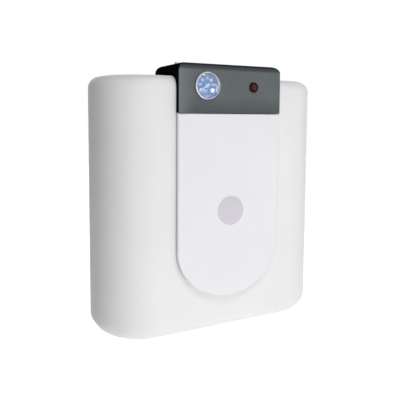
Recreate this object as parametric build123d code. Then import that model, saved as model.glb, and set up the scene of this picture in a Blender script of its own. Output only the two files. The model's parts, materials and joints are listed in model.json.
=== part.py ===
"""Slim electric storage water heater for a caravan or camper, hung on a wall bracket.

Millimetres. +X is to the right seen from the front, -Y is the front and +Z is up.
The origin is on the wall plane, midway between the bracket's two wall screws. Heights
below are counted from the casing's lower edge, and the finished pieces are moved to the
origin when they are saved. The wall plane is y = 0.
"""

import os
from math import radians, tan

from build123d import *

# Casing
casing_width = 388.0
casing_height = 400.0
casing_depth = 112.0
front_corner_radius = 80.0
top_edge_radius = 18.0
bottom_edge_radius = 30.0
back_edge_radius = 16.0
casing_wall = 2.5
tray_depth = 22.0
seam_gap = 0.8
lip_length = 6.0
lip_wall = 2.0

# Clearances
fit_gap = 0.3
hole_gap = 0.05
least_radius = 0.5
through = 60.0

# Raised band on the front: white panel below, dark control cover above
band_width = 180.0
band_proud = 8.0
panel_bottom = 60.0
panel_arc_height = 77.0
panel_edge_radius = 3.0
panel_wall = 2.5
peg_radius = 3.0
peg_length = 4.5
cover_height = 74.0
cover_rise = 19.0
cover_reach = 80.0
cover_corner_radius = 13.0
cover_crown_radius = 10.0
cover_edge_radius = 1.2
cover_rear_radius = 7.0
cover_wall = 2.5
band_gap = 0.8
notch_edge = 6.0
notch_sill = 8.0

# Blank badge disc on the panel
badge_radius = 22.5
badge_thickness = 1.0
badge_height = 194.0

# Gauge and pilot lamp in the control cover
control_drop = 34.0
gauge_x = -43.0
gauge_radius = 21.0
gauge_case_radius = 19.8
gauge_case_depth = 24.0
gauge_case_wall = 1.2
gauge_bezel_height = 5.0
gauge_lip = 1.6
bezel_shoulder = 2.25
bezel_slope = 3.9
bezel_step = 0.4
bezel_land = 1.2
bezel_hook = 0.6
bezel_hook_thickness = 1.0
lens_rise = 4.5
lens_thickness = 1.2
dial_thickness = 0.6
dial_setback = 1.0
needle_length = 15.0
needle_width = 1.6
needle_thickness = 0.6
needle_tip = 0.5
needle_rest = 120.0
spindle_radius = 0.8
lamp_x = 39.0
lamp_radius = 7.8
lamp_body_radius = 6.4
lamp_body_length = 21.0
lamp_lens_radius = 5.6
lamp_lens_rise = 4.0
lamp_flange = 2.0
lamp_ledge = 1.0
lamp_tab_length = 6.0
lamp_tab_width = 2.8
lamp_tab_thickness = 0.8
clip_thickness = 1.6
clip_margin = 4.0

# Tank
tank_side_gap = 62.0
tank_front_gap = 10.0
tank_back_gap = 20.0
tank_bottom = 34.0
control_space = 84.0
tank_wall = 1.2
tank_edge_radius = 14.0
tank_end_height = 16.0
stay_radius = 5.0
stay_margin = 7.0
stay_spacing = 120.0
boss_radius = 8.0
boss_x = 70.0
boss_low = 80.0
bolt_radius = 3.0
bolt_head_flats = 10.0
bolt_head_height = 4.0
bolt_dimple_depth = 6.5
bolt_dimple_radius = 10.0

# Service flange on the tank's top, under the control cover
flange_offset = -6.0
flange_radius = 30.0
flange_bore = 20.0
collar_height = 10.0
gasket_thickness = 2.0
flange_thickness = 4.0
stud_circle = 25.0
stud_radius = 2.5
stud_length = 26.0
nut_flats = 8.0
nut_height = 4.0
element_radius = 4.25
element_x = 12.0
element_y_offset = -6.0
element_foot = 26.0
element_stub = 14.0
bead_radius = 4.0
bead_height = 5.0
tab_width = 6.3
tab_thickness = 0.8
tab_height = 8.0
pocket_y_offset = 9.0
pocket_radius = 4.3
pocket_wall = 0.8
pocket_foot = 88.0
pocket_rim = 2.0
anode_y_offset = -12.0
anode_radius = 6.5
anode_foot = 124.0
anode_thread = 30.0
rod_radius = 3.0

# Thermostat
thermostat_width = 46.0
thermostat_depth = 40.0
thermostat_height = 36.0
thermostat_clear = 20.0
thermostat_shift = 1.0
thermostat_boss = 7.0
dial_radius = 9.0
dial_height = 5.0
dial_offset = 10.0
dial_shaft = 3.0
dial_shaft_length = 8.0
button_radius = 3.5
button_proud = 3.0
button_depth = 9.0
button_offset = 12.0
button_travel = 2.0

# Control tray and terminal block
foam_cap = 20.0
tray_floor = 2.0
tray_side = 1.5
tray_margin = 2.0
post_radius = 4.0
cover_screw_inset = 12.0
cover_screw_setback = 32.0
cover_screw_radius = 1.75
cover_screw_head = 3.6
cover_screw_head_height = 2.4
cover_screw_length = 14.0
block_inset = 25.0
block_setback = 21.0
block_length = 30.0
block_depth = 18.0
block_height = 16.0
way_pitch = 9.0
way_radius = 2.0
lead_radius = 1.2
lead_grip = 4.0
lead_run = 6.0
lead_clear = 10.0

# Water pipes and cable gland in the casing's bottom
pipe_x = 60.0
pipe_offset = 21.0
pipe_radius = 10.48
pipe_shank = 9.6
pipe_bore = 7.5
pipe_reach = 17.0
thread_gap = 0.5
thread_chamfer = 1.0
pipe_entry = 10.0
collar_radius = 16.0
pipe_collar_height = 5.0
riser_radius = 6.0
riser_bore = 5.0
riser_gap = 10.0
diffuser_radius = 13.0
diffuser_height = 18.0
diffuser_seat = 5.0
gland_side = 54.0
gland_offset = 19.0
gland_radius = 8.0
gland_flats = 20.0
gland_flange = 4.0
gland_nut_height = 13.0
gland_nut_radius = 9.5
gland_stub = 4.0
gland_step = 1.0
gland_thread = 2.0
cable_radius = 4.0
locknut_flats = 22.0
locknut_height = 4.0
conduit_radius = 7.0
conduit_wall = 1.0

# Gauge pocket in the tank's top
gauge_pocket_x = -64.0
gauge_pocket_clear = 3.0
gauge_pocket_rim = 6.0
bulb_radius = 3.0
bulb_length = 60.0
capillary_radius = 0.75

# Casing screws
screw_side = 26.0
screw_end = 50.0
screw_post_radius = 4.5
screw_radius = 1.9
screw_head_radius = 3.8
screw_head_height = 2.6
screw_length = 34.0
screw_slot = 1.0
dimple_radius = 6.0
dimple_depth = 4.0

# Wall bracket and the hanger plate that hooks over it
hook_drop = 75.0
sheet = 2.0
hook_reach = 5.0
hook_height = 12.0
hook_gap = 0.5
lift_room = 1.0
bracket_width = 180.0
bracket_flange = 28.0
hanger_width = 200.0
hanger_flange = 39.0
hanger_bolt_drop = 31.0
recess_depth = 12.0
recess_margin = 12.0
recess_below = 2.0
recess_above = 5.5
wall_hole_radius = 3.25
wall_hole_spacing = 150.0
wall_hole_drop = 15.0

# Places worked out from the sizes above
half_width = casing_width / 2
front_y = -casing_depth
band_y = front_y - band_proud
cover_top = casing_height + cover_rise
cover_bottom = cover_top - cover_height
cover_back = front_y + cover_reach
cover_inner_top = cover_top - cover_wall
control_line = cover_top - control_drop
notch_back = cover_back - cover_wall - tray_side
notch_half = band_width / 2 - notch_edge
tank_width = casing_width - 2 * tank_side_gap
tank_thickness = casing_depth - tank_front_gap - tank_back_gap
tank_height = casing_height - control_space - tank_bottom
tank_y = -tank_back_gap - tank_thickness / 2
tank_top = tank_bottom + tank_height
tank_back_y = -tank_back_gap
tank_middle = tank_bottom + tank_height / 2
gauge_pocket_bottom = tank_middle + stay_spacing / 2 + stay_radius + gauge_pocket_clear
stay_x = (tank_width - tank_thickness) / 2 - stay_margin
foam_top = tank_top + foam_cap
pipe_y = tank_y + pipe_offset
pipe_top = tank_bottom + pipe_entry
riser_top = tank_top - riser_gap
gland_x = half_width - gland_side
gland_y = tank_y + gland_offset
gland_top = casing_wall + locknut_height + gland_thread
flange_y = tank_y + flange_offset
flange_bottom = tank_top + collar_height + gasket_thickness
flange_top = flange_bottom + flange_thickness
pocket_y = flange_y + pocket_y_offset
element_y = flange_y + element_y_offset
anode_y = flange_y + anode_y_offset
element_bottom = tank_bottom + element_foot
pocket_bottom = tank_bottom + pocket_foot
anode_bottom = tank_bottom + anode_foot
thermostat_y = pocket_y - thermostat_shift
thermostat_bottom = flange_top + thermostat_clear
thermostat_top = thermostat_bottom + thermostat_height
tray_top = foam_top + tray_floor
cover_screw_x = band_width / 2 - cover_screw_inset
cover_screw_y = band_y + cover_screw_setback
block_x = band_width / 2 - block_inset
block_y = cover_back - block_setback
screw_x = half_width - screw_side
screw_heights = (screw_end, casing_height / 2, casing_height - screw_end)
shell_seam = -tray_depth - seam_gap
thread_top = -pipe_collar_height - thread_gap
bracket_ledge = casing_height - hook_drop
bracket_bottom = bracket_ledge - bracket_flange
hook_overlap = hook_height - sheet
hang_lift = hook_overlap + lift_room
hanger_top = bracket_ledge + sheet + hook_overlap + hang_lift / 2 + sheet
hanger_bottom = bracket_ledge - hanger_flange
hanger_bolt_height = bracket_ledge - hanger_bolt_drop
recess_half_width = hanger_width / 2 + recess_margin
recess_bottom = hanger_bottom - recess_below
recess_top = hanger_top + recess_above
wall_hole_height = bracket_ledge - wall_hole_drop


def block(x0, x1, y0, y1, z0, z1):
    """Box between two corners."""
    return Pos(x0, y0, z0) * Box(x1 - x0, y1 - y0, z1 - z0, align=Align.MIN)


def post_z(x, y, z0, z1, radius):
    """Upright cylinder from z0 to z1."""
    low = (Align.CENTER, Align.CENTER, Align.MIN)
    return Pos(x, y, z0) * Cylinder(radius, z1 - z0, align=low)


def post_y(x, z, y0, y1, radius):
    """Cylinder along Y from y0 to y1."""
    low = (Align.CENTER, Align.CENTER, Align.MIN)
    return Pos(x, y0, z) * Rot(-90, 0, 0) * Cylinder(radius, y1 - y0, align=low)


def hex_z(x, y, z0, z1, flats):
    """Upright hexagonal prism."""
    outline = RegularPolygon(flats / 2, 6, major_radius=False)
    return Pos(x, y, z0) * extrude(outline, z1 - z0)


def hex_y(x, z, y0, y1, flats):
    """Hexagonal prism along Y."""
    outline = RegularPolygon(flats / 2, 6, major_radius=False)
    return Pos(x, y0, z) * Rot(-90, 0, 0) * extrude(outline, y1 - y0)


def profile_x(points, width):
    """Strip of one YZ profile, centred on x = 0."""
    outline = make_face(Polyline(*[(0, y, z) for y, z in points], close=True))
    return extrude(outline, width / 2, dir=(1, 0, 0), both=True)


def facing_front(x, z, shape):
    """Places a shape turned about Z so that its +Z points out of the control cover's face."""
    return Pos(x, band_y, z) * Rot(90, 0, 0) * shape


def turned(points):
    """Solid of revolution about Z from (radius, height) points."""
    outline = make_face(Polyline(*[(r, 0, h) for r, h in points], close=True))
    return revolve(outline, axis=Axis.Z)


def lead(points, radius):
    """Wire along straight runs that join in arcs as large as the runs allow."""
    stops = [Vector(*p) for p in points]
    bends = []
    for a, b, c in zip(stops, stops[1:], stops[2:]):
        turn = radians((b - a).get_angle(c - b))
        bends.append(0.45 * min((b - a).length, (c - b).length) / tan(turn / 2))
    path = FilletPolyline(*stops, radius=bends)
    section = Plane(origin=path @ 0, z_dir=path % 0) * Circle(radius)
    return sweep(section, path=path)


def group(solids):
    """Several separate solids as one node."""
    return Compound(list(solids))


def inner_radius(radius, inset):
    """Radius of a rounded edge moved in by inset."""
    return max(radius - inset, least_radius)


def casing_form(inset):
    """Front form of the casing moved in by inset: large front uprights, rounded top and bottom."""
    side = half_width - inset
    form = block(-side, side, front_y + inset, 0, inset, casing_height - inset)
    uprights = form.edges().filter_by(Axis.Z).group_by(Axis.Y)[0]
    form = fillet(uprights, inner_radius(front_corner_radius, inset))
    top_rim = form.faces().sort_by(Axis.Z)[-1].edges().filter_by(lambda e: e.center().Y < -seam_gap)
    form = fillet(top_rim, inner_radius(top_edge_radius, inset))
    low_rim = form.faces().sort_by(Axis.Z)[0].edges().filter_by(lambda e: e.center().Y < -seam_gap)
    return fillet(low_rim, inner_radius(bottom_edge_radius, inset))


def casing_outline(inset, y0, y1):
    """Prism along Y with the outline that the casing has at its seam."""
    side = half_width - inset
    prism = block(-side, side, y0, y1, inset, casing_height - inset)
    corners = prism.edges().filter_by(Axis.Y).group_by(Axis.Z)
    prism = fillet(corners[-1], inner_radius(top_edge_radius, inset))
    corners = prism.edges().filter_by(Axis.Y).group_by(Axis.Z)
    return fillet(corners[0], inner_radius(bottom_edge_radius, inset))


def back_form(inset, y0):
    """Back of the casing moved in by inset, with its rounded back edge."""
    pan = casing_outline(inset, y0, -inset)
    return fillet(pan.faces().sort_by(Axis.Y)[-1].edges(), inner_radius(back_edge_radius, inset))


def tank_form(inset):
    """Flat-sided tank with round ends, moved in by inset."""
    outline = SlotOverall(tank_width - 2 * inset, tank_thickness - 2 * inset)
    form = Pos(0, tank_y, tank_bottom + inset) * extrude(outline, tank_height - 2 * inset)
    form = fillet(form.faces().sort_by(Axis.Z)[-1].edges(), inner_radius(tank_edge_radius, inset))
    return fillet(form.faces().sort_by(Axis.Z)[0].edges(), inner_radius(tank_edge_radius, inset))


def cover_form(inset):
    """Outside form of the control cover moved in by inset: where three rounded prisms meet, one for each view."""
    side = band_width / 2 - inset
    plain = block(-side, side, band_y + inset, cover_back - inset, cover_bottom + inset, cover_top - inset)
    crown = plain.edges().filter_by(Axis.X).group_by(Axis.Z)[-1].sort_by(Axis.Y)[0]
    from_side = fillet(crown, inner_radius(cover_crown_radius, inset))
    rear = from_side.edges().filter_by(Axis.X).group_by(Axis.Z)[-1].sort_by(Axis.Y)[-1]
    from_side = fillet(rear, inner_radius(cover_rear_radius, inset))
    shoulders = plain.edges().filter_by(Axis.Y).group_by(Axis.Z)[-1]
    from_front = fillet(shoulders, inner_radius(cover_corner_radius, inset))
    uprights = plain.edges().filter_by(Axis.Z).group_by(Axis.Y)[0]
    from_above = fillet(uprights, inner_radius(cover_edge_radius, inset))
    return from_side & from_front & from_above


def panel_form(inset, y0, y1):
    """Front panel outline, straight sides over a flattened round lower end."""
    half = band_width / 2 - inset
    arc_z = panel_bottom + panel_arc_height
    top = cover_bottom - band_gap - inset
    upper = block(-half, half, y0, y1, arc_z, top)
    oval = Ellipse(half, panel_arc_height - inset)
    lower = Pos(0, y0, arc_z) * Rot(-90, 0, 0) * extrude(oval, y1 - y0)
    return upper + (lower - block(-half, half, y0, y1, arc_z, top))


def panel_pegs():
    """Places of the front panel's four pegs, as (x, z)."""
    high = cover_bottom - 5 * panel_edge_radius - peg_radius
    low = panel_bottom + panel_arc_height / 2
    side = band_width / 3
    return [(-side, high), (side, high), (-side / 2, low), (side / 2, low)]


def casing_screw_places():
    """Places of the screws that join tray and shell, as (x, z)."""
    return [(side * screw_x, z) for side in (-1, 1) for z in screw_heights]


def tank_boss_places():
    """Weld bosses on the tank's back, as (x, z, back end y)."""
    low_end = -bolt_dimple_depth - casing_wall - fit_gap
    high_end = -recess_depth - sheet - fit_gap
    ends = ((boss_low, low_end), (hanger_bolt_height, high_end))
    return [(side * boss_x, z, y) for side in (-1, 1) for z, y in ends]


def low_bosses():
    """Places of the lower weld bosses, as (x, z)."""
    return [(x, z) for x, z, _ in tank_boss_places() if z < recess_bottom]


def stud_places():
    """Places of the four studs round the service flange, as (x, y)."""
    reach = stud_circle / 2**0.5
    return [(x, flange_y + y) for x in (-reach, reach) for y in (-reach, reach)]


def front_shell():
    shell = casing_form(0) - casing_form(casing_wall)
    room = casing_form(casing_wall / 2)
    wide, high = casing_width, 2 * casing_height
    shell &= block(-wide, wide, 2 * front_y, shell_seam, -casing_wall, high)
    for x, z in casing_screw_places():
        shell += post_y(x, z, front_y, shell_seam, screw_post_radius) & room
        shell -= post_y(x, z, -dimple_depth - screw_length - fit_gap, 0, screw_radius)
    shell -= block(-notch_half, notch_half, 2 * front_y, notch_back, cover_bottom + notch_sill, high)
    for side in (-1, 1):
        shell -= post_z(side * pipe_x, pipe_y, -casing_wall, 2 * casing_wall, pipe_radius + 4 * fit_gap)
    shell -= post_z(gland_x, gland_y, -casing_wall, 2 * casing_wall, gland_radius + fit_gap)
    for x, z in panel_pegs():
        shell -= post_y(x, z, 2 * front_y, front_y + 2 * casing_wall, peg_radius + fit_gap / 2)
    return shell


def back_tray():
    tray = back_form(0, -tray_depth) - back_form(casing_wall, -2 * tray_depth)
    inner = casing_wall + fit_gap
    lip = casing_outline(inner, -tray_depth - lip_length, -tray_depth)
    root = casing_outline(casing_wall / 2, -tray_depth, -tray_depth + casing_wall)
    tray += lip + root - casing_outline(inner + lip_wall, -2 * tray_depth, 0)
    wall = casing_wall
    x = recess_half_width
    tray += block(-x - wall, x + wall, -recess_depth, -wall / 2, recess_bottom - wall, recess_top + wall)
    tray -= block(-x, x, -2 * recess_depth, wall, recess_bottom, recess_top)
    for bx, bz in low_bosses():
        tray += post_y(bx, bz, -bolt_dimple_depth - wall, -wall / 2, bolt_dimple_radius + wall)
        tray -= post_y(bx, bz, -bolt_dimple_depth, wall, bolt_dimple_radius)
    for sx, sz in casing_screw_places():
        tray += post_y(sx, sz, -dimple_depth - wall, -wall / 2, dimple_radius + wall)
        tray += post_y(sx, sz, shell_seam + seam_gap / 2, -wall / 2, screw_post_radius)
        tray -= post_y(sx, sz, -dimple_depth, wall, dimple_radius)
        tray -= post_y(sx, sz, -2 * tray_depth, 0, screw_radius + fit_gap)
    for bx, bz in low_bosses():
        tray -= post_y(bx, bz, -2 * tray_depth, 0, bolt_radius + fit_gap)
    for side in (-1, 1):
        tray -= post_z(side * pipe_x, pipe_y, -wall, pipe_top, pipe_radius + 4 * fit_gap)
    return tray - post_z(gland_x, gland_y, -wall, locknut_height + 2 * wall, locknut_flats / 2 + wall)


def recess_plate():
    """Steel floor of the recess in the tray's back, between the tank's upper bosses and the hanger plate."""
    x = recess_half_width + casing_wall
    low, high = recess_bottom - casing_wall, recess_top + casing_wall
    plate = block(-x, x, -recess_depth - sheet, -recess_depth, low, high)
    for bx, bz, _ in tank_boss_places():
        if bz > recess_bottom:
            plate -= post_y(bx, bz, -2 * recess_depth, 0, bolt_radius + fit_gap)
    return plate


def front_panel():
    panel = panel_form(0, band_y, front_y)
    rim = panel.faces().sort_by(Axis.Y)[0].edges()
    panel = fillet(rim, panel_edge_radius)
    panel -= panel_form(panel_wall, band_y + panel_wall, front_y + panel_wall)
    for x, z in panel_pegs():
        panel += post_y(x, z, band_y + panel_wall / 2, front_y + peg_length, peg_radius)
    return panel


def control_cover():
    cover = cover_form(0) - cover_form(cover_wall)
    cover -= casing_form(-fit_gap)
    cover -= post_y(gauge_x, control_line, 2 * band_y, front_y, gauge_case_radius + fit_gap)
    cover -= post_y(lamp_x, control_line, 2 * band_y, front_y, lamp_body_radius + fit_gap)
    for side in (-1, 1):
        x, hole = side * cover_screw_x, cover_screw_radius + fit_gap
        cover -= post_z(x, cover_screw_y, casing_height, 2 * cover_top, hole)
    return cover


def screw_z(x, y, seat, head_radius, head_height, radius, length):
    """Pan-head screw, head upwards, whose head sits on z = seat."""
    head = post_z(x, y, seat, seat + head_height, head_radius)
    head = fillet(head.faces().sort_by(Axis.Z)[-1].edges(), head_height / 2)
    half, low, high = screw_slot / 2, seat + head_height / 2, seat + 2 * head_height
    slot = block(x - head_radius, x + head_radius, y - half, y + half, low, high)
    return head - slot + post_z(x, y, seat - length, seat, radius)


def cover_screws():
    length = cover_wall + cover_screw_length
    head, height, radius = cover_screw_head, cover_screw_head_height, cover_screw_radius
    return group(
        screw_z(s * cover_screw_x, cover_screw_y, cover_top, head, height, radius, length)
        for s in (-1, 1)
    )


def casing_screws():
    made = []
    for x, z in casing_screw_places():
        head = post_y(x, z, -dimple_depth, -dimple_depth + screw_head_height, screw_head_radius)
        head = fillet(head.faces().sort_by(Axis.Y)[-1].edges(), screw_head_height / 2)
        half, reach, deep = screw_slot / 2, 0.6 * screw_head_radius, -dimple_depth + screw_head_height / 2
        cross = block(x - reach, x + reach, deep, 0, z - half, z + half)
        cross += block(x - half, x + half, deep, 0, z - reach, z + reach)
        shank = post_y(x, z, -dimple_depth - screw_length, -dimple_depth, screw_radius - hole_gap)
        made.append(head - cross + shank)
    return group(made)


def badge_disc():
    disc = post_y(0, badge_height, band_y - badge_thickness, band_y, badge_radius)
    return fillet(disc.faces().sort_by(Axis.Y)[0].edges(), badge_thickness / 2)


def tank_pieces():
    """Wrapper, top end and bottom end, welded edge to edge."""
    shell = tank_form(0) - tank_form(tank_wall)
    low = tank_bottom + tank_end_height
    high = tank_top - tank_end_height
    side, front = tank_width, 2 * front_y
    wrapper = shell & block(-side, side, front, 0, low, high)
    top_end = shell & block(-side, side, front, 0, high, 2 * tank_top)
    bottom_end = shell & block(-side, side, front, 0, 0, low)
    top_end -= post_z(0, flange_y, high, 2 * tank_top, flange_bore)
    top_end -= post_z(gauge_pocket_x, tank_y, high, 2 * tank_top, bulb_radius + pocket_wall + 4 * hole_gap)
    for s in (-1, 1):
        bottom_end -= post_z(s * pipe_x, pipe_y, 0, low, pipe_shank + hole_gap)
    return wrapper, top_end, bottom_end


def tank_stays():
    half = tank_thickness / 2 - tank_wall
    return group(
        post_y(side * stay_x, tank_middle + end * stay_spacing / 2, tank_y - half, tank_y + half, stay_radius)
        for side in (-1, 1)
        for end in (-1, 1)
    )


def tank_bosses():
    return group(
        post_y(x, z, tank_back_y, y, boss_radius) - post_y(x, z, tank_back_y, y, bolt_radius)
        for x, z, y in tank_boss_places()
    )


def tank_bolts():
    made = []
    for x, z, boss_end in tank_boss_places():
        seat = -recess_depth + sheet if z > recess_bottom else -bolt_dimple_depth
        head = hex_y(x, z, seat, seat + bolt_head_height, bolt_head_flats)
        made.append(head + post_y(x, z, tank_back_y + tank_wall, seat, bolt_radius - hole_gap))
    return group(made)


def flange_collar():
    collar = post_z(0, flange_y, tank_top, tank_top + collar_height, flange_radius)
    collar -= post_z(0, flange_y, 0, 2 * tank_top, flange_bore)
    for x, y in stud_places():
        collar -= post_z(x, y, tank_top + collar_height / 4, 2 * tank_top, stud_radius + hole_gap)
    return collar


def flange_studs():
    foot = tank_top + collar_height / 4
    return group(post_z(x, y, foot, foot + stud_length, stud_radius) for x, y in stud_places())


def flange_gasket():
    top = tank_top + collar_height
    ring = post_z(0, flange_y, top, top + gasket_thickness, flange_radius)
    ring -= post_z(0, flange_y, 0, 2 * top, flange_bore)
    for x, y in stud_places():
        ring -= post_z(x, y, 0, 2 * top, stud_radius + fit_gap)
    return ring


def element_flange():
    plate = post_z(0, flange_y, flange_bottom, flange_top, flange_radius)
    for x, y in stud_places():
        plate -= post_z(x, y, 0, 2 * flange_top, stud_radius + fit_gap)
    for s in (-1, 1):
        plate -= post_z(s * element_x, element_y, 0, 2 * flange_top, element_radius + hole_gap)
    plate -= post_z(0, pocket_y, 0, 2 * flange_top, pocket_radius + hole_gap)
    return plate - post_z(0, anode_y, 0, 2 * flange_top, stud_radius + hole_gap)


def flange_nuts():
    places = stud_places() + [(0, anode_y)]
    return group(
        hex_z(x, y, flange_top, flange_top + nut_height, nut_flats)
        - post_z(x, y, 0, 2 * flange_top, stud_radius + hole_gap)
        for x, y in places
    )


def heating_element():
    top = flange_top + element_stub
    low = element_bottom + element_x
    side = Line((-element_x, element_y, top), (-element_x, element_y, low))
    bend = ThreePointArc(side @ 1, (0, element_y, element_bottom), (element_x, element_y, low))
    other = Line((element_x, element_y, low), (element_x, element_y, top))
    path = Wire([side.edge(), bend.edge(), other.edge()])
    section = Plane(origin=(-element_x, element_y, top), z_dir=(0, 0, -1)) * Circle(element_radius)
    return sweep(section, path=path)


def element_terminals():
    made = []
    low = flange_top + element_stub
    for s in (-1, 1):
        x, foot = s * element_x, low + bead_height
        wide, thick = tab_width / 2, tab_thickness / 2
        made.append(post_z(x, element_y, low, foot, bead_radius))
        made.append(block(x - wide, x + wide, element_y - thick, element_y + thick, foot, foot + tab_height))
    return group(made)


def blind_tube(x, y, z0, z1, radius, wall, rim_radius, rim_height):
    """Pocket closed below, with a rim above z1 that carries it."""
    tube = post_z(x, y, z0, z1, radius) + post_z(x, y, z1, z1 + rim_height, rim_radius)
    return tube - post_z(x, y, z0 + wall, z1 + rim_height, radius - wall)


def sensor_pocket():
    return blind_tube(0, pocket_y, pocket_bottom, flange_top, pocket_radius, pocket_wall,
                      pocket_radius + pocket_rim, pocket_rim)


def thermostat_rod():
    return post_z(0, pocket_y, pocket_bottom + 2 * rod_radius, thermostat_bottom, rod_radius)


def anode_rod():
    rod = post_z(0, anode_y, anode_bottom, flange_bottom, anode_radius)
    rod = fillet(rod.faces().sort_by(Axis.Z)[0].edges(), anode_radius / 2)
    return rod - post_z(0, anode_y, flange_bottom - anode_thread, flange_bottom, stud_radius + hole_gap)


def anode_stud():
    return post_z(0, anode_y, flange_bottom - anode_thread, flange_top + 2 * nut_height, stud_radius)


def thermostat_body():
    half = thermostat_width / 2
    front = thermostat_y - thermostat_depth / 2
    body = block(-half, half, front, front + thermostat_depth, thermostat_bottom, thermostat_top)
    body = fillet(body.edges().filter_by(Axis.Z), button_radius)
    boss = post_z(0, pocket_y, flange_top + pocket_rim, thermostat_bottom, thermostat_boss)
    body += boss - post_z(0, pocket_y, 0, thermostat_bottom, rod_radius + hole_gap)
    tab_low = flange_top + element_stub + bead_height
    tab_high = tab_low + tab_height + fit_gap
    wide, thick = tab_width / 2 + fit_gap, tab_thickness
    for s in (-1, 1):
        x = s * element_x
        body -= block(x - wide, x + wide, element_y - thick, element_y + thick, flange_top, tab_high)
    shaft_foot = thermostat_top - dial_shaft_length - fit_gap
    body -= post_z(-dial_offset, thermostat_y, shaft_foot, 2 * thermostat_top, dial_shaft + hole_gap)
    button_foot = thermostat_top - button_depth - button_travel - fit_gap
    return body - post_z(button_offset, thermostat_y, button_foot, 2 * thermostat_top, button_radius + hole_gap)


def thermostat_dial():
    low = thermostat_top + fit_gap
    knob = post_z(-dial_offset, thermostat_y, low, low + dial_height, dial_radius)
    knob = fillet(knob.faces().sort_by(Axis.Z)[-1].edges(), dial_height / 5)
    half, reach = screw_slot / 2, 0.8 * dial_radius
    notch = block(-dial_offset - half, -dial_offset + half, thermostat_y - reach, thermostat_y + reach,
                  low + dial_height / 2, low + 2 * dial_height)
    shaft = post_z(-dial_offset, thermostat_y, thermostat_top - dial_shaft_length, low, dial_shaft)
    return knob - notch + shaft


def reset_button():
    low = thermostat_top - button_depth
    button = post_z(button_offset, thermostat_y, low, thermostat_top + button_proud, button_radius)
    return fillet(button.faces().sort_by(Axis.Z)[-1].edges(), button_radius / 3)


def control_tray():
    side = notch_half + tray_margin
    inside, back, high = side - tray_side, cover_back - cover_wall, 2 * casing_height
    outer = block(-side, side, front_y, back + tray_side, foam_top, casing_height)
    inner = block(-inside, inside, 2 * front_y, back, tray_top, high)
    tray = (outer - inner) & casing_form(casing_wall + fit_gap)
    tray -= block(-notch_half, notch_half, 2 * front_y, front_y + 2 * casing_wall, tray_top, high)
    tray -= post_z(0, flange_y, 0, high, flange_radius + tray_margin)
    tray -= post_z(gauge_pocket_x, tank_y, 0, high, gauge_pocket_rim)
    cable_way = Cylinder(gland_radius - way_radius, 4 * tray_side)
    tray -= Pos(side, block_y, tray_top + way_pitch) * Rot(0, 90, 0) * cable_way
    top, step = cover_inner_top - fit_gap, cover_bottom + 2 * cover_wall
    for s in (-1, 1):
        x, y = s * cover_screw_x, cover_screw_y
        tray += post_z(x, y, step, top, post_radius) & cover_form(cover_wall + fit_gap)
        tray += post_z(x, y, foam_top, step, post_radius)
        tray -= post_z(x, y, top - cover_screw_length, 2 * top, cover_screw_radius + hole_gap)
    return tray


def way_places():
    """X of the three ways through the terminal block."""
    return [block_x + k * way_pitch for k in (-1, 0, 1)]


def terminal_block():
    half, deep, top = block_length / 2, block_depth / 2, tray_top + block_height
    body = block(block_x - half, block_x + half, block_y - deep, block_y + deep, tray_top, top)
    body = fillet(body.edges().filter_by(Axis.Z), way_radius / 2)
    for x in way_places():
        body -= post_y(x, tray_top + way_pitch / 2, block_y - block_depth, block_y + block_depth, way_radius)
        body -= post_z(x, block_y, tray_top + way_pitch / 2 + way_radius, 2 * tray_top, way_radius + fit_gap)
    return body


def terminal_screws():
    low = tray_top + way_pitch / 2 + way_radius
    top = tray_top + block_height - fit_gap
    made = []
    for x in way_places():
        screw = post_z(x, block_y, low, top, way_radius)
        slot_foot = top - 2 * fit_gap
        slot = block(x - way_radius, x + way_radius, block_y - fit_gap, block_y + fit_gap, slot_foot, 2 * top)
        made.append(screw - slot)
    return group(made)


def foam():
    """Insulation halves in front of and behind the tank."""
    inset = casing_wall + fit_gap + lip_wall + fit_gap
    body = casing_form(inset) & back_form(inset, 2 * front_y)
    body &= block(-casing_width, casing_width, 2 * front_y, 0, 0, foam_top)
    cavity = SlotOverall(tank_width + 2 * fit_gap, tank_thickness + 2 * fit_gap)
    body -= Pos(0, tank_y, tank_bottom - fit_gap) * extrude(cavity, tank_height + 2 * fit_gap)
    body -= post_z(0, flange_y, tank_bottom, 2 * foam_top, flange_radius + fit_gap)
    body -= post_z(gauge_pocket_x, tank_y, tank_bottom, 2 * foam_top, gauge_pocket_rim)
    for s in (-1, 1):
        body -= post_z(s * pipe_x, pipe_y, 0, tank_bottom, pipe_radius + fit_gap)
    body -= post_z(gland_x, gland_y, 0, tank_bottom, locknut_flats / 2 + 2 * casing_wall)
    body -= post_z(gland_x, gland_y, 0, 2 * foam_top, conduit_radius + fit_gap)
    edge = casing_wall + fit_gap
    wide, deep, foot = recess_half_width + edge, recess_depth + edge, recess_bottom - edge
    body -= block(-wide, wide, -deep, 0, foot, 2 * foam_top)
    for x, z in casing_screw_places():
        body -= post_y(x, z, 2 * front_y, 0, screw_post_radius + fit_gap)
        body -= post_y(x, z, -dimple_depth - edge, 0, dimple_radius + edge)
    for x, z, _ in tank_boss_places():
        body -= post_y(x, z, tank_y, 0, boss_radius + fit_gap)
    for x, z in low_bosses():
        body -= post_y(x, z, -bolt_dimple_depth - edge, 0, bolt_dimple_radius + edge)
    split = fit_gap / 2
    wide = casing_width
    front = body & block(-wide, wide, 2 * front_y, tank_y - split, 0, casing_height)
    back = body & block(-wide, wide, tank_y + split, 0, 0, casing_height)
    return front, back


def pipe_stub(x):
    thread = post_z(x, pipe_y, -pipe_reach, thread_top, pipe_radius)
    thread = chamfer(thread.faces().sort_by(Axis.Z)[0].edges(), thread_chamfer)
    return thread + post_z(x, pipe_y, thread_top, pipe_top, pipe_shank)


def inlet_pipe():
    return pipe_stub(pipe_x) - post_z(pipe_x, pipe_y, -2 * pipe_reach, 2 * pipe_top, pipe_bore)


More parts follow.
